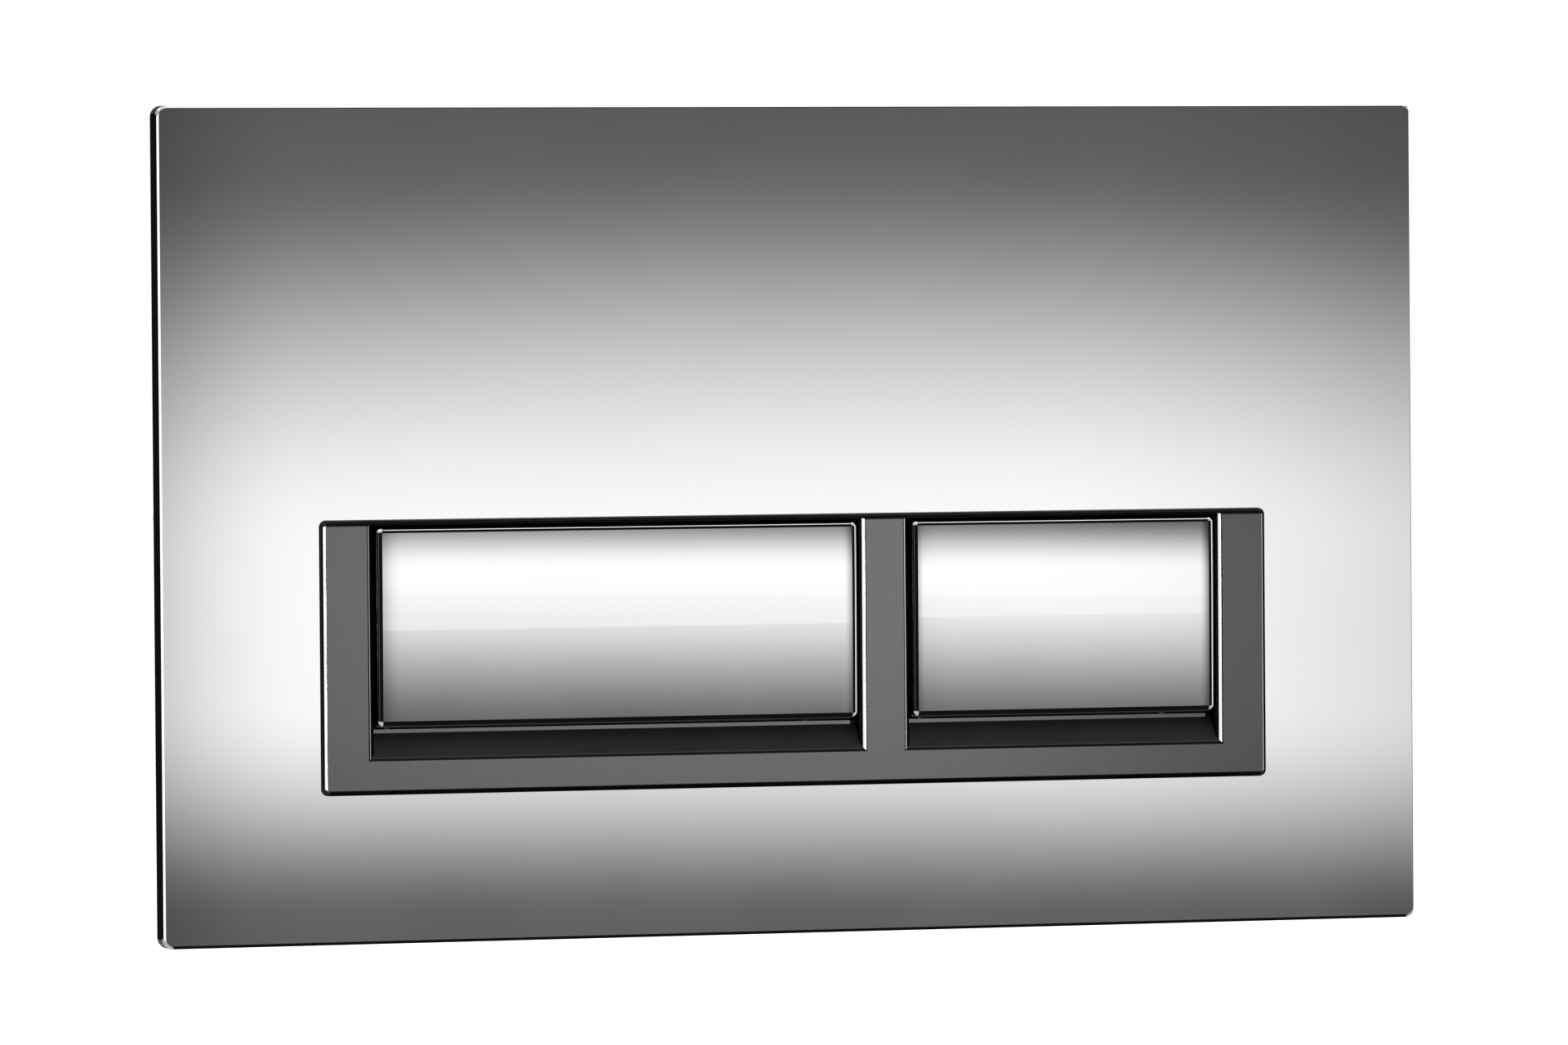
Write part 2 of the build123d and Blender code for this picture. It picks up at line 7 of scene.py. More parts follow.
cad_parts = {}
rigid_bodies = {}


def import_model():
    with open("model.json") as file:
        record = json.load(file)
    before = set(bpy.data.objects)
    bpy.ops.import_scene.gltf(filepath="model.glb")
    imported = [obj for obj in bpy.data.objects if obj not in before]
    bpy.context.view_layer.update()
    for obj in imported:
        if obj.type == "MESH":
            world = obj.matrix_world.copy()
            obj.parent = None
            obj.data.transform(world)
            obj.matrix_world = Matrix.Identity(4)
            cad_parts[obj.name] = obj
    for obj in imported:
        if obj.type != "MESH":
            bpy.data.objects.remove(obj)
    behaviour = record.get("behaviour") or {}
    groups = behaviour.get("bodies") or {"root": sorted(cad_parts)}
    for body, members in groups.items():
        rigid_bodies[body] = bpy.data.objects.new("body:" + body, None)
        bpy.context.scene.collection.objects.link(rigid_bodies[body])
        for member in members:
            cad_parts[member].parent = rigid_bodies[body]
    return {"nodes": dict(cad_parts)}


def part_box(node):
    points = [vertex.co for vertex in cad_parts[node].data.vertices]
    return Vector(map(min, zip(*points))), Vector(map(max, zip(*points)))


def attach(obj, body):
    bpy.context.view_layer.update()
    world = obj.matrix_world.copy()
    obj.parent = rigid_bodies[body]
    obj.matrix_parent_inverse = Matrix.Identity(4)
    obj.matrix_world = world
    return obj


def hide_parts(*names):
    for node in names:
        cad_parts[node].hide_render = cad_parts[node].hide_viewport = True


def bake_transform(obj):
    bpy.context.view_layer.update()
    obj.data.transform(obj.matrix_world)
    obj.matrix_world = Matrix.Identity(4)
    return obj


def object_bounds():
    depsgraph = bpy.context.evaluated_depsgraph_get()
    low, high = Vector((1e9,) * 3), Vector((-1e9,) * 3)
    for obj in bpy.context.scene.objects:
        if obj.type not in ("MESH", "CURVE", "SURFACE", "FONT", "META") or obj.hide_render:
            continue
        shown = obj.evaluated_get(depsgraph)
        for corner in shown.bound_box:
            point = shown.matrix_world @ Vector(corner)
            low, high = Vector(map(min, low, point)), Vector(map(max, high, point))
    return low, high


for leftover in list(bpy.data.objects):
    bpy.data.objects.remove(leftover)  # the start-up cube, lamp and camera

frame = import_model()
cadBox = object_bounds()
nodes = frame["nodes"]
scene = bpy.context.scene
mm = 0.001
flushes = ("full_flush", "half_flush")
print("frame loaded:", len(nodes), "CAD nodes")


# small helpers for node trees

noiseRange = (0.3, 0.7)  # most noise values lie between these


def node(tree, kind, inputs=None, **settings):
    made = tree.nodes.new(kind)
    for name, value in settings.items():
        setattr(made, name, value)
    for key, value in (inputs or {}).items():
        if isinstance(value, bpy.types.NodeSocket):
            tree.links.new(value, made.inputs[key])
        else:
            made.inputs[key].default_value = value
    return made


def calc(tree, operation, *values):
    kind = "ShaderNodeMath"
    return node(tree, kind, dict(enumerate(values)), operation=operation).outputs[0]


def product(tree, value, *others):
    for other in others:
        value = calc(tree, "MULTIPLY", value, other)
    return value


def ease(tree, value, start, end, low=0.0, high=1.0):
    # smooth step of a value between start and end
    inputs = {"Value": value, "From Min": start, "From Max": end, "To Min": low, "To Max": high}
    made = node(tree, "ShaderNodeMapRange", inputs, interpolation_type="SMOOTHSTEP")
    return made.outputs["Result"]


def spread(tree, value, low, high, start=noiseRange[0], end=noiseRange[1]):
    # a value stretched to run from low to high
    inputs = {"Value": value, "From Min": start, "From Max": end, "To Min": low, "To Max": high}
    return node(tree, "ShaderNodeMapRange", inputs).outputs["Result"]


def tone(tree, value, dark, light):
    ramp = node(tree, "ShaderNodeValToRGB", {"Fac": value})
    for element, position, colour in zip(ramp.color_ramp.elements, noiseRange, (dark, light)):
        element.position = position
        element.color = (*colour, 1)
    return ramp.outputs["Color"]


def newMaterial(name):
    material = bpy.data.materials.new(name)
    material.use_nodes = True
    tree = material.node_tree
    tree.nodes.clear()
    output = node(tree, "ShaderNodeOutputMaterial")
    return material, tree, output


def noise(tree, scale, detail=3.0, stretch=(1, 1, 1)):
    place = node(tree, "ShaderNodeTexCoord").outputs["Object"]
    mapped = node(tree, "ShaderNodeMapping", {"Vector": place, "Scale": stretch})
    inputs = {"Vector": mapped.outputs["Vector"], "Scale": scale, "Detail": detail}
    return node(tree, "ShaderNodeTexNoise", inputs).outputs["Fac"]


def skinBump(tree, height, distance, strength):
    inputs = {"Height": height, "Distance": distance, "Strength": strength}
    return node(tree, "ShaderNodeBump", inputs).outputs["Normal"]


# finishes

chrome = {"clouds": 35.0, "roughness": (0.018, 0.03), "plate": (0.85, 0.87), "caps": (0.882, 0.902)}


def mirrorChrome(part):
    dark, light = chrome[part]
    material, tree, output = newMaterial(part + "Chrome")
    clouds = noise(tree, chrome["clouds"])
    shader = node(tree, "ShaderNodeBsdfPrincipled", {
        "Base Color": tone(tree, clouds, (dark,) * 3, (light,) * 3),
        "Roughness": spread(tree, clouds, *chrome["roughness"]),
        "Metallic": 1.0,
    })
    tree.links.new(shader.outputs["BSDF"], output.inputs["Surface"])
    return material


gunmetal = {
    "dark": (0.22, 0.22, 0.222), "light": (0.276, 0.276, 0.278), "grazing": (0.1, 0.1, 0.1, 1.0),
    "paintedShade": (20 * mm, 95 * mm, 1.06, 0.74),  # painted shade: darker towards the right end, where the light falls off
    "speckle": 7000.0, "speckleDetail": 2.0, "speckleHeight": 0.0025 * mm, "speckleBump": 0.5,
    "roughness": (0.115, 0.145),
    "edgeDark": (0.002, 0.002, 0.002), "edgeLight": (0.02, 0.02, 0.02), "edgeClouds": 120.0,
    # painted light: the ramps under the buttons get a lighter colour than the other glossy black surfaces
    "edgeShare": (0.3, 0.2), "rampPaintedLight": 0.28, "edgeRoughness": (0.1, 0.14), "rampRoughness": 0.35,
    "facing": (0.955, 0.99),  # how square to the room a surface is satin
    "shine": (0.2, 0.45, 0.0, 0.3),  # gloss of the rounds as they turn to the room
    "sides": (0.5, 0.3, 0.0, 0.5),  # roughness of what turns away from the room
    "rightTurn": (0.36, 0.28),  # the gloss ends on what turns right
    "faceDepth": 0.5 * mm, "topBand": 1.2 * mm, "shelfDrop": 0.2 * mm, "rampLean": 0.3,
    "creaseDrop": 1.04 * mm, "creaseHeight": 0.13 * mm,
}


def satinGunmetal():
    # satin paint on the face and on the shelf under the buttons, glossy black on the rounds and in the wells
    low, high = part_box("button_frame")
    faceY = low.y + gunmetal["faceDepth"]
    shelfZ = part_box("full_flush_button")[0].z - gunmetal["shelfDrop"]
    creaseZ = shelfZ - gunmetal["creaseDrop"]
    material, tree, output = newMaterial("satinGunmetal")
    place = node(tree, "ShaderNodeTexCoord").outputs
    spot = node(tree, "ShaderNodeSeparateXYZ", {0: place["Object"]}).outputs
    facing = node(tree, "ShaderNodeSeparateXYZ", {0: place["Normal"]}).outputs
    towardRoom = calc(tree, "MULTIPLY", facing["Y"], -1.0)
    belowTop = calc(tree, "LESS_THAN", spot["Z"], high.z - gunmetal["topBand"])
    onFace = product(tree, calc(tree, "LESS_THAN", spot["Y"], faceY), belowTop)
    belowShelf = calc(tree, "LESS_THAN", spot["Z"], shelfZ)
    fromCrease = calc(tree, "ABSOLUTE", calc(tree, "SUBTRACT", spot["Z"], creaseZ))
    offCrease = calc(tree, "GREATER_THAN", fromCrease, gunmetal["creaseHeight"])
    leaning = calc(tree, "GREATER_THAN", facing["Z"], gunmetal["rampLean"])
    onRamp = product(tree, belowShelf, leaning)

    speckle = noise(tree, gunmetal["speckle"], gunmetal["speckleDetail"])
    paint = tone(tree, speckle, gunmetal["dark"], gunmetal["light"])
    # painted shade: the paint colour is scaled down towards the right end, standing in for the light falling
    # off there
    paintedShade = ease(tree, spot["X"], *gunmetal["paintedShade"])
    paint = node(tree, "ShaderNodeVectorMath", {0: paint, "Scale": paintedShade}, operation="SCALE").outputs[0]
    satin = node(tree, "ShaderNodeBsdfPrincipled", {
        "Base Color": paint,
        "Roughness": spread(tree, speckle, *gunmetal["roughness"]),
        "Metallic": 1.0,
        "Specular Tint": gunmetal["grazing"],
        "Normal": skinBump(tree, speckle, gunmetal["speckleHeight"], gunmetal["speckleBump"]),
    })

    clouds = noise(tree, gunmetal["edgeClouds"])
    start, reach = gunmetal["edgeShare"]
    depth = calc(tree, "MULTIPLY_ADD", clouds, reach, start - reach / 2)
    # painted light: the upward-facing ramps are lifted to a lighter colour, standing in for the light they
    # catch
    depth = calc(tree, "MULTIPLY_ADD", onRamp, gunmetal["rampPaintedLight"], depth)
    polish = spread(tree, clouds, *gunmetal["edgeRoughness"])
    polish = calc(tree, "MAXIMUM", polish, product(tree, onRamp, gunmetal["rampRoughness"]))
    polish = calc(tree, "MAXIMUM", polish, ease(tree, towardRoom, *gunmetal["sides"]))
    shine = ease(tree, towardRoom, *gunmetal["shine"])
    gloss = node(tree, "ShaderNodeBsdfPrincipled", {
        "Base Color": tone(tree, depth, gunmetal["edgeDark"], gunmetal["edgeLight"]),
        "Roughness": polish,
        "Specular IOR Level": product(tree, shine, ease(tree, facing["X"], *gunmetal["rightTurn"])),
    })

    square = ease(tree, towardRoom, *gunmetal["facing"])
    onShelf = product(tree, belowShelf, offCrease)
    share = product(tree, square, calc(tree, "MAXIMUM", onFace, onShelf))
    both = node(tree, "ShaderNodeMixShader", {0: share, 1: gloss.outputs["BSDF"], 2: satin.outputs["BSDF"]})
    tree.links.new(both.outputs["Shader"], output.inputs["Surface"])
    return material


plastic = {"clouds": 45.0, "grain": 1400.0, "grainDetail": 2.0, "grainHeight": 0.01 * mm, "bump": 0.6}
plastics = {
    "leverBlack": {"dark": (0.018, 0.018, 0.019), "light": (0.026, 0.026, 0.027), "rough": (0.4, 0.5)},
    "carrierGrey": {"dark": (0.05, 0.05, 0.053), "light": (0.064, 0.064, 0.067), "rough": (0.42, 0.55)},
    "framePale": {"dark": (0.66, 0.66, 0.635), "light": (0.7, 0.7, 0.675), "rough": (0.42, 0.52)},
    "boltNatural": {
        "dark": (0.72, 0.72, 0.69), "light": (0.77, 0.77, 0.745), "rough": (0.32, 0.42), "grain": 900.0,
    },
    "guideBlueGrey": {"dark": (0.16, 0.185, 0.22), "light": (0.19, 0.215, 0.25), "rough": (0.38, 0.48)},
    "bufferRubber": {
        "dark": (0.014, 0.014, 0.014), "light": (0.022, 0.022, 0.022), "rough": (0.7, 0.85), "grain": 2200.0,
    },
}


def mouldedPlastic(name):
    # spark-eroded mould skin over slow changes of tone
    look = {**plastic, **plastics[name]}
    material, tree, output = newMaterial(name)
    clouds = noise(tree, look["clouds"])
    skin = noise(tree, look["grain"], look["grainDetail"])
    shader = node(tree, "ShaderNodeBsdfPrincipled", {
        "Base Color": tone(tree, clouds, look["dark"], look["light"]),
        "Roughness": spread(tree, skin, *look["rough"]),
        "Normal": skinBump(tree, skin, look["grainHeight"], look["bump"]),
    })
    tree.links.new(shader.outputs["BSDF"], output.inputs["Surface"])
    return material


steel = {"lineDetail": 4.0, "lineHeight": 0.004 * mm, "bump": 0.5}
steels = {
    "blackenedPin": {
        "dark": (0.016, 0.016, 0.017), "light": (0.026, 0.026, 0.027), "rough": (0.4, 0.55),
        "lines": 3000.0, "stretch": (0.06, 1, 1),
    },
    "rolledStrip": {
        "dark": (0.4, 0.41, 0.43), "light": (0.52, 0.53, 0.55), "rough": (0.24, 0.36),
        "lines": 2400.0, "stretch": (1, 0.08, 0.08),
    },
    "zincPlate": {
        "dark": (0.52, 0.53, 0.55), "light": (0.66, 0.67, 0.68), "rough": (0.22, 0.36),
        "lines": 700.0, "stretch": (1, 1, 1),
    },
}


def workedSteel(name):
    # fine lines, drawn out along the piece where it was drawn or rolled
    look = {**steel, **steels[name]}
    material, tree, output = newMaterial(name)
    lines = noise(tree, look["lines"], look["lineDetail"], look["stretch"])
    shader = node(tree, "ShaderNodeBsdfPrincipled", {
        "Base Color": tone(tree, lines, look["dark"], look["light"]),
        "Roughness": spread(tree, lines, *look["rough"]),
        "Metallic": 1.0,
        "Normal": skinBump(tree, lines, look["lineHeight"], look["bump"]),
    })
    tree.links.new(shader.outputs["BSDF"], output.inputs["Surface"])
    return material


plateChrome = mirrorChrome("plate")
capChrome = mirrorChrome("caps")
insertGunmetal = satinGunmetal()
leverBlack = mouldedPlastic("leverBlack")
carrierGrey = mouldedPlastic("carrierGrey")
framePale = mouldedPlastic("framePale")
boltNatural = mouldedPlastic("boltNatural")
guideBlueGrey = mouldedPlastic("guideBlueGrey")
bufferRubber = mouldedPlastic("bufferRubber")
blackenedPin = workedSteel("blackenedPin")
rolledStrip = workedSteel("rolledStrip")
zincPlate = workedSteel("zincPlate")

finishes = {
    "cover_plate": plateChrome, "button_frame": insertGunmetal, "rear_carrier": carrierGrey,
    "stop_buffers": bufferRubber, "mounting_frame": framePale,
}
for flush in flushes:
    finishes[flush + "_lever"] = leverBlack
    finishes[flush + "_hinge_pin"] = blackenedPin
    finishes[flush + "_rod_guide"] = guideBlueGrey
for name, material in finishes.items():
    nodes[name].material_slots[0].material = material
print("finishes on", len(finishes), "CAD nodes")


# mesh helpers

meshing = {"merge": 0.001 * mm, "mergeTurned": 0.002 * mm, "sharpAngle": 32.0}


def finishMesh(name, mesh, material, sharpAngle=meshing["sharpAngle"]):
    work = bmesh.new()
    work.from_mesh(mesh)
    bmesh.ops.remove_doubles(work, verts=work.verts, dist=meshing["merge"])
    bmesh.ops.recalc_face_normals(work, faces=work.faces)
    work.to_mesh(mesh)
    work.free()
    mesh.polygons.foreach_set("use_smooth", [True] * len(mesh.polygons))
    mesh.set_sharp_from_angle(angle=math.radians(sharpAngle))
    mesh.materials.clear()
    mesh.materials.append(material)
    piece = bpy.data.objects.new(name, mesh)
    scene.collection.objects.link(piece)
    return piece


def meshPiece(name, verts, faces, material):
    mesh = bpy.data.meshes.new(name)
    mesh.from_pydata(verts, [], faces)
    return finishMesh(name, mesh, material)


def standFor(piece, cadNode, body):
    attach(piece, body)
    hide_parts(cadNode)


# flush buttons: chrome caps whose face leans back above and below a crest
# a faint crease runs across, and both ends turn away

cap = {
    "cornerRadius": 1.2 * mm, "edgeRadius": 1.15 * mm, "cell": 0.5 * mm, "edgeSteps": 12, "cornerSteps": 8,
    "skirtWall": 1.5 * mm, "faceWall": 2.2 * mm, "pinGap": 0.4 * mm,
    # the face bends evenly from its head over the crest, which sinks a little towards the right
    "bend": 0.00175 / mm, "crest": {"full_flush": 8.2 * mm, "half_flush": 10.1 * mm}, "crestSlant": 0.016,
    # then it leans back by these slopes, at distances below the head and at both sides of the crease
    "leanAbove": (17.0 * mm, 0.0069), "leanCrease": (0.0067, 0.0077),
    "leanBelow": ((24.0 * mm, 0.0083), (37.2 * mm, 0.0095)),
    "crease": {"full_flush": 19.2 * mm, "half_flush": 18.4 * mm}, "creaseHalf": 0.05 * mm,
    "creaseRows": (-3, -1, 1, 3), "creaseClear": 0.35 * mm,
    # how far the face turns away at its left and right ends, and over what length
    "ends": {
        "full_flush": ((0.0117, 5.6 * mm), (0.042, 2.3 * mm)),
        "half_flush": ((0.0385, 6.0 * mm), (0.03, 1.7 * mm)),
    },
}


def leanFall(flush, fromLeft, below):
    # the lean summed up from the crest
    bend, crease, half = cap["bend"], cap["crease"][flush], cap["creaseHalf"]
    crest = cap["crest"][flush] + cap["crestSlant"] * fromLeft
    lean = cap["leanAbove"][1]
    bent = min(below, crest + lean / bend)
    fall = bend * (bent - crest) ** 2 / 2
    before, after = cap["leanCrease"]
    knots = [(bent, lean), cap["leanAbove"], (crease - half, before), (crease + half, after)]
    knots += cap["leanBelow"]
    for (start, lean), (end, nextLean) in zip(knots, knots[1:]):
        part = min(max(below - start, 0.0), end - start)
        fall += lean * part + (nextLean - lean) / (end - start) * part ** 2 / 2
    return fall


def makeCap(flush):
    low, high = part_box(flush + "_button")
    pinLow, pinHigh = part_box(flush + "_hinge_pin")
    pinY, pinZ = (pinLow.y + pinHigh.y) / 2, (pinLow.z + pinHigh.z) / 2
    notch = (pinHigh.z - pinLow.z) / 2 + cap["pinGap"]
    corner, edge = cap["cornerRadius"], cap["edgeRadius"]
    left, right, foot, head = low.x + corner, high.x - corner, low.z + corner, high.z - corner

    def faceY(x, z):
        fall = leanFall(flush, x - low.x, high.z - z)
        for (turn, length), fromEnd in zip(cap["ends"][flush], (x - low.x - edge, high.x - edge - x)):
            fall += turn * length / 2 * max(0.0, 1 - fromEnd / length) ** 2
        return low.y + fall

    def backY(z):
        reach = notch ** 2 - (z - pinZ) ** 2
        return min(high.y, pinY - math.sqrt(reach)) if reach > 0 else high.y

    columns = math.ceil((right - left) / cap["cell"])
    xs = [left + (right - left) * i / columns for i in range(columns + 1)]
    evenRows = math.ceil((head - foot) / cap["cell"])
    zs = [foot + (head - foot) * i / evenRows for i in range(evenRows + 1)]
    # the rows close up on the crease, so that it stays crisp
    creaseZ = high.z - cap["crease"][flush]
    zs = [z for z in zs if abs(z - creaseZ) > cap["creaseClear"]]
    zs = sorted(zs + [creaseZ + row * cap["creaseHalf"] for row in cap["creaseRows"]])
    verts = [(x, faceY(x, z), z) for z in zs for x in xs]
    faces = []
    for j in range(len(zs) - 1):
        for i in range(columns):
            a = j * (columns + 1) + i
            faces.append((a, a + 1, a + columns + 2, a + columns + 1))

    # walk round the face: where the outline starts from, and which way is out
    walk = []
    sides = (
        ([(x, foot) for x in xs], -90), ([(right, z) for z in zs], 0),
        ([(x, head) for x in reversed(xs)], 90), ([(left, z) for z in reversed(zs)], 180),
    )
    for points, heading in sides:
        walk += [(point, math.radians(heading)) for point in points]
        for step in range(1, cap["cornerSteps"]):
            walk.append((points[-1], math.radians(heading + 90 * step / cap["cornerSteps"])))

    def ring(inset, height):
        start = len(verts)
        for (x, z), heading in walk:
            x += math.cos(heading) * (corner - inset)
            z += math.sin(heading) * (corner - inset)
            verts.append((x, height(x, z), z))
        return range(start, len(verts))

    rings = [ring(corner, faceY)]
    for step in range(cap["edgeSteps"] + 1):
        turn = math.pi / 2 * step / cap["edgeSteps"]
        drop = edge * (1 - math.cos(turn))
        rings.append(ring(edge * (1 - math.sin(turn)), lambda x, z: faceY(x, z) + drop))
    rings.append(ring(0.0, lambda x, z: backY(z)))
    rings.append(ring(cap["skirtWall"], lambda x, z: backY(z)))
    rings.append(ring(cap["skirtWall"], lambda x, z: low.y + cap["faceWall"]))
    for outer, inner in zip(rings, rings[1:]):
        for i in range(len(walk)):
            j = (i + 1) % len(walk)
            faces.append((outer[i], outer[j], inner[j], inner[i]))
    faces.append(tuple(rings[-1]))
    piece = meshPiece(flush + "_button_cap", verts, faces, capChrome)
    standFor(piece, flush + "_button", flush + "_key")
    return piece


for flush in flushes:
    made = makeCap(flush)
    print("cap:", made.name, len(made.data.polygons), "faces")


# return springs: copies of the CAD springs in rolled strip steel stand in for them

for flush in flushes:
    springNode = flush + "_return_spring"
    low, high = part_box(springNode)
    spring = finishMesh(flush + "_strip_spring", nodes[springNode].data.copy(), rolledStrip)
    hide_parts(springNode)
    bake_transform(spring)


# geometry node trees for what repeats

def newTree(name, sockets):
    tree = bpy.data.node_groups.new(name, "GeometryNodeTree")
    tree.interface.new_socket("Geometry", in_out="INPUT", socket_type="NodeSocketGeometry")
    for socketName, kind in sockets:
        tree.interface.new_socket(socketName, in_out="INPUT", socket_type=kind)
    tree.interface.new_socket("Geometry", in_out="OUTPUT", socket_type="NodeSocketGeometry")
    return tree, node(tree, "NodeGroupInput"), node(tree, "NodeGroupOutput")


def closeTree(tree, geometry, material, output):
    real = node(tree, "GeometryNodeRealizeInstances", {"Geometry": geometry})
    inputs = {"Geometry": real.outputs["Geometry"], "Material": material}
    painted = node(tree, "GeometryNodeSetMaterial", inputs)
    tree.links.new(painted.outputs["Geometry"], output.inputs["Geometry"])


def runTree(carrier, tree, values):
    # set each named input by its identifier, take the result as a plain mesh
    modifier = carrier.modifiers.new(tree.name, "NODES")
    modifier.node_group = tree
    for item in tree.interface.items_tree:
        if item.in_out == "INPUT" and item.name in values:
            modifier[item.identifier] = values[item.name]
    bpy.context.view_layer.update()
    evaluated = carrier.evaluated_get(bpy.context.evaluated_depsgraph_get())
    mesh = bpy.data.meshes.new_from_object(evaluated)
    carrier.modifiers.remove(modifier)
    old = carrier.data
    bpy.data.objects.remove(carrier)
    bpy.data.meshes.remove(old)
    return mesh


def turnedTree(name, sockets, shape):
    # a grid rolled into a turned piece along Y, with its radius given by shape(tree, inputs, turn, along)
    tree, inputs, output = newTree(name, sockets)
    given = inputs.outputs
    grid = node(tree, "GeometryNodeMeshGrid", {
        "Size X": 1.0, "Size Y": 1.0, "Vertices X": given["Around"], "Vertices Y": given["Rows"],
    })
    # the grid lies round its middle, so half a unit brings each side to 0
    spot = node(tree, "ShaderNodeSeparateXYZ", {0: node(tree, "GeometryNodeInputPosition").outputs[0]})
    turn = calc(tree, "ADD", spot.outputs["X"], 0.5)
    along = calc(tree, "ADD", spot.outputs["Y"], 0.5)
    radius = shape(tree, given, turn, along)
    # the first and last rows close on the axis
    fromEnd = calc(tree, "MINIMUM", along, calc(tree, "SUBTRACT", 1.0, along))
    closed = calc(tree, "MINIMUM", calc(tree, "MULTIPLY", fromEnd, given["Rows"]), 1.0)
    radius = calc(tree, "MULTIPLY", radius, closed)
    angle = calc(tree, "MULTIPLY", turn, 2 * math.pi)
    place = node(tree, "ShaderNodeCombineXYZ", {
        "X": calc(tree, "MULTIPLY_ADD", radius, calc(tree, "COSINE", angle), given["Centre X"]),
        "Y": calc(tree, "MULTIPLY_ADD", along, given["Length"], given["Start"]),
        "Z": calc(tree, "MULTIPLY_ADD", radius, calc(tree, "SINE", angle), given["Centre Z"]),
    })
    rolled = node(tree, "GeometryNodeSetPosition", {
        "Geometry": grid.outputs["Mesh"], "Position": place.outputs[0],
    })
    merged = node(tree, "GeometryNodeMergeByDistance", {
        "Geometry": rolled.outputs["Geometry"], "Distance": meshing["mergeTurned"],
    })
    joined = node(tree, "GeometryNodeJoinGeometry")
    tree.links.new(given["Geometry"], joined.inputs["Geometry"])
    tree.links.new(merged.outputs["Geometry"], joined.inputs["Geometry"])
    closeTree(tree, joined.outputs["Geometry"], given["Material"], output)
    return tree


turnedSockets = [
    ("Around", "NodeSocketInt"), ("Rows", "NodeSocketInt"),
    ("Centre X", "NodeSocketFloat"), ("Centre Z", "NodeSocketFloat"),
    ("Start", "NodeSocketFloat"), ("Length", "NodeSocketFloat"),
    ("Radius", "NodeSocketFloat"), ("Depth", "NodeSocketFloat"),
    ("Material", "NodeSocketMaterial"),
]
thread = {"flank": (0.25, 0.85)}  # from the crest to the root, as shares of half a pitch
# collar and rim are shares of the head's length
knurl = {"flute": (-0.6, 0.6), "collar": (0.14, 0.22), "rim": (0.02, 0.1)}


def threadShape(tree, given, turn, along):
    # a rounded screw thread: the groove's depth runs round and along together
    distance = calc(tree, "MULTIPLY", along, given["Length"])
    turns = calc(tree, "DIVIDE", distance, given["Pitch"])
    phase = calc(tree, "FRACT", calc(tree, "SUBTRACT", turns, turn))
    ramp = calc(tree, "ABSOLUTE", calc(tree, "MULTIPLY_ADD", phase, 2.0, -1.0))
    groove = ease(tree, ramp, *thread["flank"])
    return calc(tree, "SUBTRACT", given["Radius"], calc(tree, "MULTIPLY", groove, given["Depth"]))


def knurlShape(tree, given, turn, along):
    # straight grip flutes between two plain collars
    wave = calc(tree, "COSINE", product(tree, turn, given["Flutes"], 2 * math.pi))
    flute = ease(tree, wave, *knurl["flute"])
    fromEnd = calc(tree, "MINIMUM", along, calc(tree, "SUBTRACT", 1.0, along))
    cut = product(tree, flute, ease(tree, fromEnd, *knurl["collar"]), given["Depth"])
    rim = product(tree, ease(tree, fromEnd, *knurl["rim"], 1.0, 0.0), given["Edge"])
    return calc(tree, "SUBTRACT", given["Radius"], calc(tree, "ADD", cut, rim))


threadTree = turnedTree("screwThread", turnedSockets + [("Pitch", "NodeSocketFloat")], threadShape)
knurlTree = turnedTree(
    "gripHead", turnedSockets + [("Flutes", "NodeSocketFloat"), ("Edge", "NodeSocketFloat")], knurlShape)


def emptyCarrier(name):
    carrier = bpy.data.objects.new(name, bpy.data.meshes.new(name))
    scene.collection.objects.link(carrier)
    return carrier


def centreValues(low, high):
    return {"Centre X": (low.x + high.x) / 2, "Centre Z": (low.z + high.z) / 2}


# push rods: threaded all along, with a fluted adjusting head

rod = {"pitch": 1.5 * mm, "depth": 0.35 * mm, "around": 32, "rowsPerTurn": 8, "sharpAngle": 70.0}
rodHead = {"flutes": 30, "depth": 0.35 * mm, "edge": 0.5 * mm, "around": 241, "rows": 41}

for flush in flushes:
    low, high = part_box(flush + "_push_rod")
    length = high.y - low.y
    values = {
        "Around": rod["around"] + 1, "Rows": round(length / rod["pitch"] * rod["rowsPerTurn"]),
        "Start": low.y, "Length": length, "Radius": (high.x - low.x) / 2,
        "Depth": rod["depth"], "Pitch": rod["pitch"], "Material": boltNatural, **centreValues(low, high),
    }
    mesh = runTree(emptyCarrier("rodBlank"), threadTree, values)
    piece = finishMesh(flush + "_threaded_rod", mesh, boltNatural, rod["sharpAngle"])
    standFor(piece, flush + "_push_rod", flush + "_rod")

    low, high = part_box(flush + "_rod_head")
    values = {
        "Around": rodHead["around"], "Rows": rodHead["rows"],
        "Start": low.y, "Length": high.y - low.y, "Radius": (high.x - low.x) / 2,
        "Depth": rodHead["depth"], "Flutes": rodHead["flutes"], "Edge": rodHead["edge"],
        "Material": guideBlueGrey, **centreValues(low, high),
    }
    mesh = runTree(emptyCarrier("headBlank"), knurlTree, values)
    piece = finishMesh(flush + "_grip_head", mesh, guideBlueGrey)
    standFor(piece, flush + "_rod_head", flush + "_rod")
print("push rods threaded, heads fluted")


# fixing bolts: the CAD knob and shoulder, with a coarse plastic thread behind

bolt = {
    "pitch": 2.5 * mm, "depth": 0.7 * mm, "around": 40, "rowsPerTurn": 10, "sharpAngle": 50.0,
    "shankRadius": 4.0 * mm, "behindBoss": 0.5 * mm, "overlap": 0.3 * mm, "cutMargin": 0.1 * mm,
}

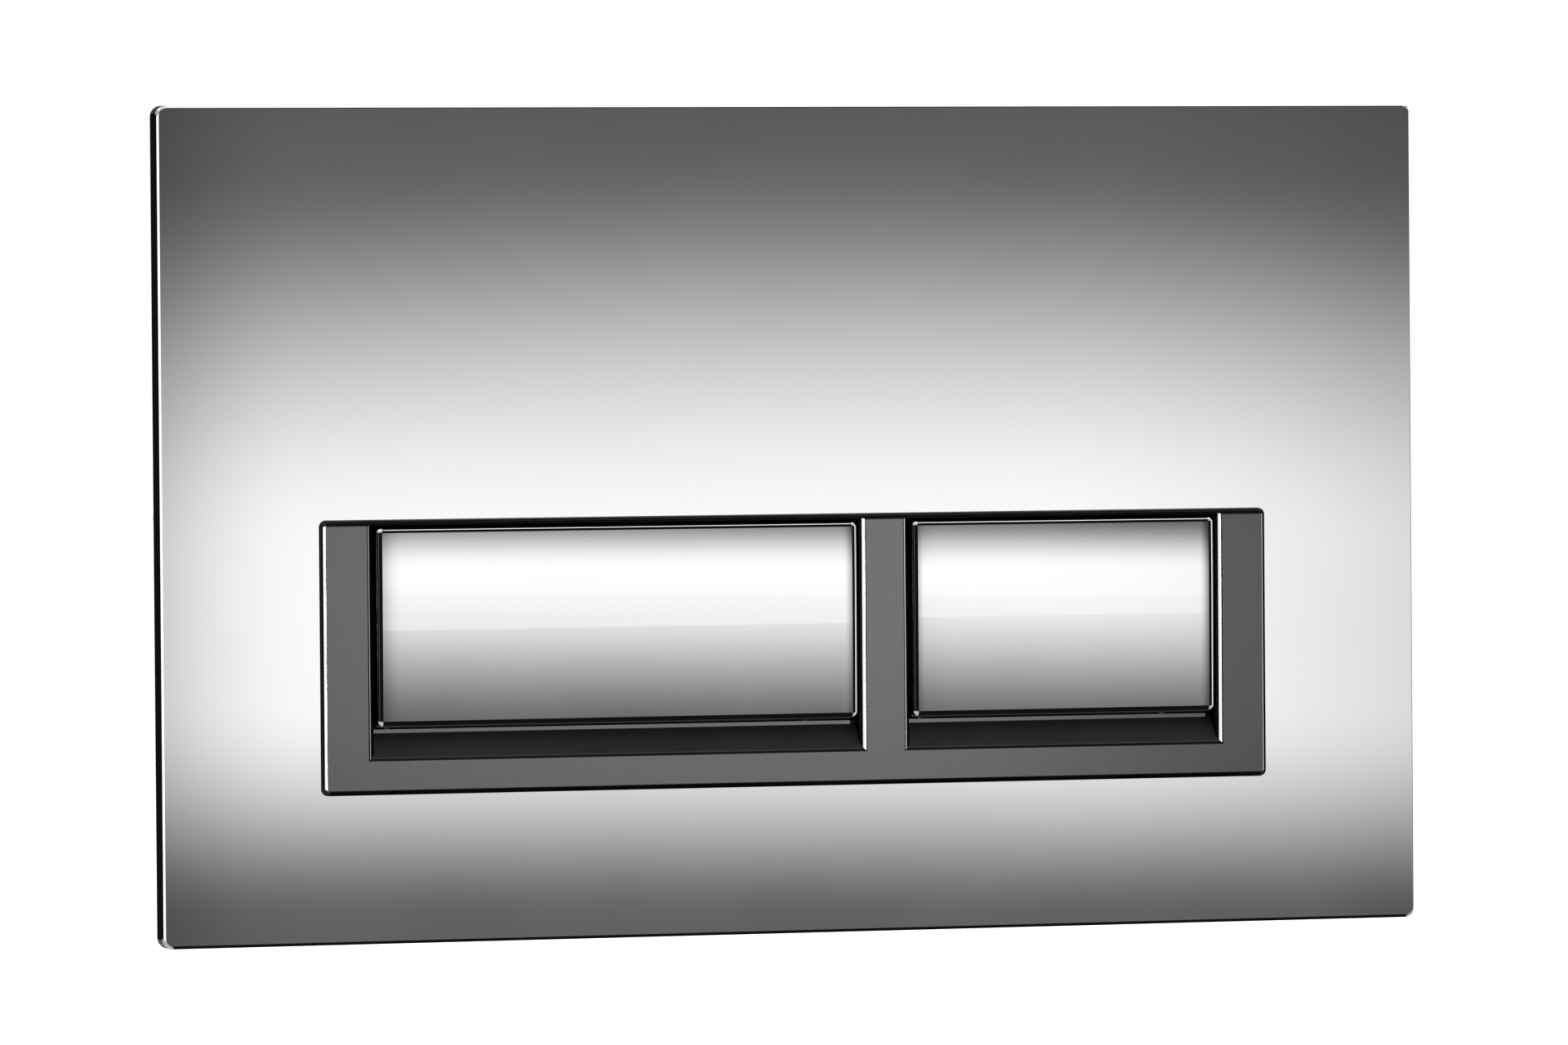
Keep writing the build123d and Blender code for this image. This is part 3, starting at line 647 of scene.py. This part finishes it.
for side in ("left", "right"):
    boltNode = side + "_fixing_bolt"
    low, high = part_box(boltNode)
    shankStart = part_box("mounting_frame")[1].y + bolt["behindBoss"]
    cutFrom = shankStart + bolt["cutMargin"]
    mesh = nodes[boltNode].data.copy()
    work = bmesh.new()
    work.from_mesh(mesh)
    bmesh.ops.remove_doubles(work, verts=work.verts, dist=meshing["merge"])
    shank = [face for face in work.faces if face.calc_center_median().y > cutFrom]
    bmesh.ops.delete(work, geom=shank, context="FACES")
    bmesh.ops.holes_fill(work, edges=[edge for edge in work.edges if edge.is_boundary])
    work.to_mesh(mesh)
    work.free()
    headBlank = finishMesh(side + "BoltHead", mesh, boltNatural)
    start = shankStart - bolt["overlap"]
    values = {
        "Around": bolt["around"] + 1, "Rows": round((high.y - start) / bolt["pitch"] * bolt["rowsPerTurn"]),
        "Start": start, "Length": high.y - start, "Radius": bolt["shankRadius"],
        "Depth": bolt["depth"], "Pitch": bolt["pitch"], "Material": boltNatural, **centreValues(low, high),
    }
    mesh = runTree(headBlank, threadTree, values)
    piece = finishMesh(side + "_threaded_bolt", mesh, boltNatural, bolt["sharpAngle"])
    standFor(piece, boltNode, "plate")
print("fixing bolts threaded")


# carrier screws: pan heads with a cross recess, each turned by chance

screw = {
    "headRadius": 2.5 * mm, "headHeight": 1.6 * mm, "rimHeight": 0.5 * mm, "domePower": 0.6,
    "shankRadius": 1.2 * mm, "steps": 8, "around": 32,
    "crossLength": 2.6 * mm, "crossWidth": 0.62 * mm, "crossDepth": 1.0 * mm, "seed": 7,
}


def latheMesh(name, profile, around):
    # profile holds (radius, y) pairs from one end of the axis to the other
    verts, faces = [], []
    for radius, y in profile:
        for i in range(around):
            angle = 2 * math.pi * i / around
            verts.append((radius * math.cos(angle), y, radius * math.sin(angle)))
    for first in range(0, len(verts) - around, around):
        second = first + around
        for i in range(around):
            k = (i + 1) % around
            faces.append((first + i, first + k, second + k, second + i))
    return meshPiece(name, verts, faces, zincPlate)


def boxMesh(name, size, centre):
    place = Matrix.Translation(centre) @ Matrix.Diagonal((*size, 1))
    work = bmesh.new()
    bmesh.ops.create_cube(work, size=1.0, matrix=place)
    mesh = bpy.data.meshes.new(name)
    work.to_mesh(mesh)
    work.free()
    return finishMesh(name, mesh, zincPlate)


def makeScrew(shankLength):
    # the seat of the head is y = 0 and the head points along +Y
    top, rim = screw["headHeight"], screw["rimHeight"]
    radius, shank = screw["headRadius"], screw["shankRadius"]
    profile = [(0, -shankLength), (shank, -shankLength), (shank, 0), (radius, 0)]
    for step in range(screw["steps"] + 1):
        turn = math.pi / 2 * step / screw["steps"]
        profile.append((radius * math.cos(turn) ** screw["domePower"], rim + (top - rim) * math.sin(turn)))
    profile[-1] = (0, top)
    blank = latheMesh("screwBlank", profile, screw["around"])
    long, wide, deep = screw["crossLength"], screw["crossWidth"], 2 * screw["crossDepth"]
    for k, size in enumerate(((long, deep, wide), (wide, deep, long))):
        cutter = boxMesh("crossCutter", size, (0, top, 0))
        recess = blank.modifiers.new("cross" + str(k), "BOOLEAN")
        recess.operation = "DIFFERENCE"
        recess.solver = "EXACT"
        recess.object = cutter
        bpy.context.view_layer.update()
        evaluated = blank.evaluated_get(bpy.context.evaluated_depsgraph_get())
        cut = bpy.data.meshes.new_from_object(evaluated)
        blank.modifiers.clear()
        blank.data = cut
        bpy.data.objects.remove(cutter)
    return blank


def screwTree():
    sockets = [
        ("Screw", "NodeSocketObject"), ("Seed", "NodeSocketInt"), ("Material", "NodeSocketMaterial"),
    ]
    tree, inputs, output = newTree("screwsOnCarrier", sockets)
    given = inputs.outputs
    single = node(tree, "GeometryNodeObjectInfo", {"Object": given["Screw"]})
    turn = node(tree, "FunctionNodeRandomValue", {"Seed": given["Seed"]}, data_type="FLOAT_VECTOR")
    turn.inputs[1].default_value = (0, math.pi, 0)  # up to half a turn round the screw's axis
    rotation = node(tree, "FunctionNodeEulerToRotation", {0: turn.outputs[0]})
    placed = node(tree, "GeometryNodeInstanceOnPoints", {
        "Points": given["Geometry"], "Instance": single.outputs["Geometry"],
        "Rotation": rotation.outputs[0],
    })
    closeTree(tree, placed.outputs["Instances"], given["Material"], output)
    return tree


low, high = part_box("carrier_screws")
betweenButtons = (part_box("full_flush_button")[1].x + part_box("half_flush_button")[0].x) / 2
headRadius = screw["headRadius"]
seat = high.y - screw["headHeight"]
columns = (low.x + headRadius, betweenButtons, high.x - headRadius)
spots = [(x, seat, z) for x in columns for z in (low.z + headRadius, high.z - headRadius)]
oneScrew = makeScrew(seat - low.y)
screwCarrier = emptyCarrier("screwSpots")
screwCarrier.data.from_pydata(spots, [], [])
values = {"Screw": oneScrew, "Seed": screw["seed"], "Material": zincPlate}
screws = finishMesh("carrier_pan_screws", runTree(screwCarrier, screwTree(), values), zincPlate)
bpy.data.objects.remove(oneScrew)
standFor(screws, "carrier_screws", "plate")
print("screws:", len(spots))


# studio: a pale floor, a white surround for the camera, soft lamps, and a tent that only mirrors see

studio = {
    "floorDrop": 80 * mm, "floorSize": 40.0, "paperClouds": 3.0, "paper": ((0.8,) * 3, (0.82,) * 3),
    # the floor glows less round the object, so that its shadow shows
    "glowReach": (0.25, 0.75), "glowNear": 0.13, "glowFar": 0.62,
    "fill": 0.55,
}


def makeFloor():
    z, half = cadBox[0].z - studio["floorDrop"], studio["floorSize"] / 2
    material, tree, output = newMaterial("studioFloor")
    path = node(tree, "ShaderNodeLightPath").outputs
    seen = calc(tree, "MAXIMUM", path["Is Camera Ray"], path["Is Transmission Ray"])
    sheen = tone(tree, noise(tree, studio["paperClouds"]), *studio["paper"])
    paper = node(tree, "ShaderNodeBsdfDiffuse", {"Color": sheen})
    place = node(tree, "ShaderNodeTexCoord").outputs["Object"]
    away = node(tree, "ShaderNodeVectorMath", {0: place}, operation="LENGTH").outputs["Value"]
    bright = ease(tree, away, *studio["glowReach"], studio["glowNear"], studio["glowFar"])
    glow = node(tree, "ShaderNodeEmission", {"Strength": product(tree, seen, bright)})
    lit = node(tree, "ShaderNodeAddShader", {0: paper.outputs[0], 1: glow.outputs[0]})
    clear = node(tree, "ShaderNodeBsdfTransparent")
    under = node(tree, "ShaderNodeNewGeometry").outputs["Backfacing"]
    both = node(tree, "ShaderNodeMixShader", {0: under, 1: lit.outputs[0], 2: clear.outputs[0]})
    tree.links.new(both.outputs[0], output.inputs["Surface"])
    mesh = bpy.data.meshes.new("studioFloor")
    corners = [(-half, -half, z), (half, -half, z), (half, half, z), (-half, half, z)]
    mesh.from_pydata(corners, [], [(0, 1, 2, 3)])
    mesh.materials.append(material)
    floor = bpy.data.objects.new("studioFloor", mesh)
    scene.collection.objects.link(floor)
    floor.visible_glossy = False  # the tent stands in for it in mirrors


def makeWorld():
    world = bpy.data.worlds.new("whiteSurround")
    world.use_nodes = True
    scene.world = world
    tree = world.node_tree
    tree.nodes.clear()
    path = node(tree, "ShaderNodeLightPath").outputs
    seen = calc(tree, "MAXIMUM", path["Is Camera Ray"], path["Is Glossy Ray"])
    seen = calc(tree, "MAXIMUM", seen, path["Is Transmission Ray"])
    strength = spread(tree, seen, studio["fill"], 1.0, 0.0, 1.0)
    sky = node(tree, "ShaderNodeBackground", {"Color": (1, 1, 1, 1), "Strength": strength})
    output = node(tree, "ShaderNodeOutputWorld")
    tree.links.new(sky.outputs[0], output.inputs["Surface"])


tent = {"radius": 400.0, "subdivisions": 5, "base": 0.006}
# one soft box straight in the plate's mirror direction: sideways and upward slopes of a ray towards it
softBox = {
    "left": (0.2136, 0.254), "right": (0.4536, 0.3307), "middle": 0.305, "leastAhead": 0.05,
    "top": (0.0166, -0.0245), "topBow": 0.565, "bottom": (-0.0637, -0.0411), "bottomTilt": 0.024,
    "seam": -0.0331, "seamStep": 0.006, "level": 1.115,
    "dim": 0.115, "dimTop": (0.05, 0.012), "dimBottom": (-0.12, -0.08),
}
# other panels of the tent, in degrees round from the front and up from the horizon
panels = (
    {"round": (75, 125), "up": (-30, 30), "soft": 6, "level": 1.5},
    {"round": (-54, -46), "up": (-30, 30), "soft": 2, "level": 0.15},
    {"round": (-180, 180), "up": (42, 56), "soft": 3, "level": 1.2},
)
# banded floor and ceiling of the tent, left out of the slice that the level edges mirror in the photo's view
room = {
    "floor": (-6, -10), "ceiling": (8, 14), "level": 0.5, "swing": 0.38, "peak": -15.5, "bands": 8.0,
    "slice": 17.0, "clear": (0.08, 0.16), "behind": (0.8, 0.93, 1.0, 0.3),
}


def softBoxGlow(tree, x, y, z):
    ahead = calc(tree, "MAXIMUM", calc(tree, "MULTIPLY", y, -1.0), softBox["leastAhead"])
    sideways, upward = calc(tree, "DIVIDE", x, ahead), calc(tree, "DIVIDE", z, ahead)
    aside = calc(tree, "SUBTRACT", sideways, softBox["middle"])
    fromTop = calc(tree, "MULTIPLY_ADD", product(tree, aside, aside), softBox["topBow"], upward)
    fromBottom = calc(tree, "MULTIPLY_ADD", aside, softBox["bottomTilt"], upward)
    bright = product(tree, ease(tree, fromTop, *softBox["top"]), ease(tree, fromBottom, *softBox["bottom"]))
    dim = product(tree, ease(tree, upward, *softBox["dimTop"]), ease(tree, upward, *softBox["dimBottom"]))
    dim = product(tree, dim, softBox["dim"])
    tall = calc(tree, "MULTIPLY_ADD", bright, 1 - softBox["dim"], dim)
    belowSeam = calc(tree, "LESS_THAN", upward, softBox["seam"])
    seam = calc(tree, "MULTIPLY_ADD", belowSeam, -softBox["seamStep"], 1.0)
    wide = product(tree, ease(tree, sideways, *softBox["left"]), ease(tree, sideways, *softBox["right"]))
    front = calc(tree, "LESS_THAN", y, 0.0)
    return product(tree, tall, seam, wide, front, softBox["level"])


def inside(tree, value, low, high, soft):
    rise = ease(tree, value, low, low + soft)
    fall = ease(tree, value, high, high - soft)
    return product(tree, rise, fall)


def panelGlow(tree, roundAngle, upAngle):
    glow = 0.0
    for panel in panels:
        between = inside(tree, roundAngle, *panel["round"], panel["soft"])
        share = product(tree, between, inside(tree, upAngle, *panel["up"], panel["soft"]))
        glow = calc(tree, "MULTIPLY_ADD", share, panel["level"], glow)
    return glow


def roomGlow(tree, x, y, upAngle):
    sliceX = math.sin(math.radians(room["slice"]))
    fromSlice = calc(tree, "ABSOLUTE", calc(tree, "SUBTRACT", x, sliceX))
    clear = product(tree, ease(tree, fromSlice, *room["clear"]), ease(tree, y, *room["behind"]))
    fromPeak = calc(tree, "SUBTRACT", upAngle, room["peak"])
    wave = calc(tree, "COSINE", product(tree, fromPeak, 2 * math.pi / room["bands"]))
    bands = calc(tree, "MULTIPLY_ADD", wave, room["swing"], room["level"])
    away = calc(tree, "ADD", ease(tree, upAngle, *room["floor"]), ease(tree, upAngle, *room["ceiling"]))
    return product(tree, clear, away, bands)


def makeTent():
    material, tree, output = newMaterial("mirrorTent")
    place = node(tree, "ShaderNodeTexCoord").outputs["Object"]
    way = node(tree, "ShaderNodeVectorMath", {0: place}, operation="NORMALIZE").outputs[0]
    x, y, z = node(tree, "ShaderNodeSeparateXYZ", {0: way}).outputs
    roundAngle = calc(tree, "DEGREES", calc(tree, "ARCTAN2", x, calc(tree, "MULTIPLY", y, -1.0)))
    upAngle = calc(tree, "DEGREES", calc(tree, "ARCSINE", z))
    total = calc(tree, "ADD", softBoxGlow(tree, x, y, z), panelGlow(tree, roundAngle, upAngle))
    total = calc(tree, "ADD", total, roomGlow(tree, x, y, upAngle))
    total = calc(tree, "ADD", total, tent["base"])
    light = node(tree, "ShaderNodeEmission", {"Color": (1, 1, 1, 1), "Strength": total})
    tree.links.new(light.outputs[0], output.inputs["Surface"])
    mesh = bpy.data.meshes.new("mirrorTent")
    work = bmesh.new()
    bmesh.ops.create_icosphere(work, subdivisions=tent["subdivisions"], radius=tent["radius"])
    work.to_mesh(mesh)
    work.free()
    mesh.materials.append(material)
    sphere = bpy.data.objects.new("mirrorTent", mesh)
    scene.collection.objects.link(sphere)
    sphere.visible_camera = False
    sphere.visible_diffuse = False
    sphere.visible_transmission = False
    sphere.visible_volume_scatter = False
    sphere.visible_shadow = False


lamps = (
    {"name": "keyLamp", "from": (-0.9, -1.3, 1.3), "size": 1.2, "power": 16.0},
    {"name": "fillLamp", "from": (1.2, -1.0, 0.6), "size": 1.2, "power": 6.0},
    {"name": "backLamp", "from": (0.8, 1.4, 1.2), "size": 1.2, "power": 14.0},
)


def makeLamps():
    for lamp in lamps:
        data = bpy.data.lights.new(lamp["name"], "AREA")
        data.size, data.energy = lamp["size"], lamp["power"]
        made = bpy.data.objects.new(lamp["name"], data)
        made.location = lamp["from"]
        made.rotation_euler = (-Vector(lamp["from"])).to_track_quat("-Z", "Y").to_euler()
        made.visible_glossy = False
        scene.collection.objects.link(made)


# strips that each light one piece alone, for the bright lines on its rounds
strips = {
    "leftStrip": {"on": "button_frame", "round": -30.0, "up": -1.1, "size": (2.4, 0.9), "glow": 40.0},
    "leftEdgeStrip": {"on": "cover_plate", "round": -32.0, "up": -1.1, "size": (3.7, 0.9), "glow": 1.4},
    "rightStrip": {"on": "button_frame", "round": 48.5, "up": -1.1, "size": (1.0, 0.9), "glow": 4.5},
    "edgeStrip": {"on": "cover_plate", "round": 58.0, "up": -1.1, "size": (1.6, 0.9), "glow": 1.2},
    "topStrip": {"on": "cover_plate", "round": 90.0, "up": 66.0, "size": (8.6, 1.6), "glow": 1.0},
}
stripDistance = 2.6


def directionTo(turn, rise):
    # round from the front and up from the horizon
    return Vector((math.sin(turn) * math.cos(rise), -math.cos(turn) * math.cos(rise), math.sin(rise)))


def makeStrips():
    for name, strip in strips.items():
        place = directionTo(math.radians(strip["round"]), math.radians(strip["up"])) * stripDistance
        data = bpy.data.lights.new(name, "AREA")
        data.shape = "RECTANGLE"
        data.size, data.size_y = strip["size"]
        data.energy = strip["glow"] * math.pi * data.size * data.size_y
        lamp = bpy.data.objects.new(name, data)
        lamp.location = place
        lamp.rotation_euler = (-place).to_track_quat("-Z", "Y").to_euler()
        lamp.visible_camera = False
        lamp.visible_diffuse = False  # for mirrors and gloss only
        scene.collection.objects.link(lamp)
        lit = bpy.data.collections.new("litBy" + name)
        lit.objects.link(nodes[strip["on"]])
        lamp.light_linking.receiver_collection = lit


makeFloor()
makeWorld()
makeTent()
makeLamps()
makeStrips()
print("studio ready")


# camera: from the photograph's side, a long lens a little left of square

shot = {
    "round": -16.877, "up": 1.2354, "roll": -0.4392, "distance": 1906.88 * mm,
    "target": (-2.73 * mm, -4.5 * mm, -0.596 * mm), "lens": 234.36, "sensor": 36.0, "clip": (0.01, 100.0),
}


def makeCamera():
    turn, rise, roll = (math.radians(shot[key]) for key in ("round", "up", "roll"))
    back = directionTo(turn, rise)
    level = Vector((math.cos(turn), math.sin(turn), 0))
    plumb = back.cross(level)
    across = level * math.cos(roll) + plumb * math.sin(roll)
    upright = plumb * math.cos(roll) - level * math.sin(roll)
    place = Vector(shot["target"]) + back * shot["distance"]
    data = bpy.data.cameras.new("shotCamera")
    data.sensor_fit = "HORIZONTAL"
    data.sensor_width = shot["sensor"]
    data.lens = shot["lens"]
    data.clip_start, data.clip_end = shot["clip"]
    camera = bpy.data.objects.new("shotCamera", data)
    camera.matrix_world = Matrix((
        (across.x, upright.x, back.x, place.x), (across.y, upright.y, back.y, place.y),
        (across.z, upright.z, back.z, place.z), (0, 0, 0, 1),
    ))
    scene.collection.objects.link(camera)
    scene.camera = camera


makeCamera()
scene.view_settings.view_transform = "Standard"
print("camera set")
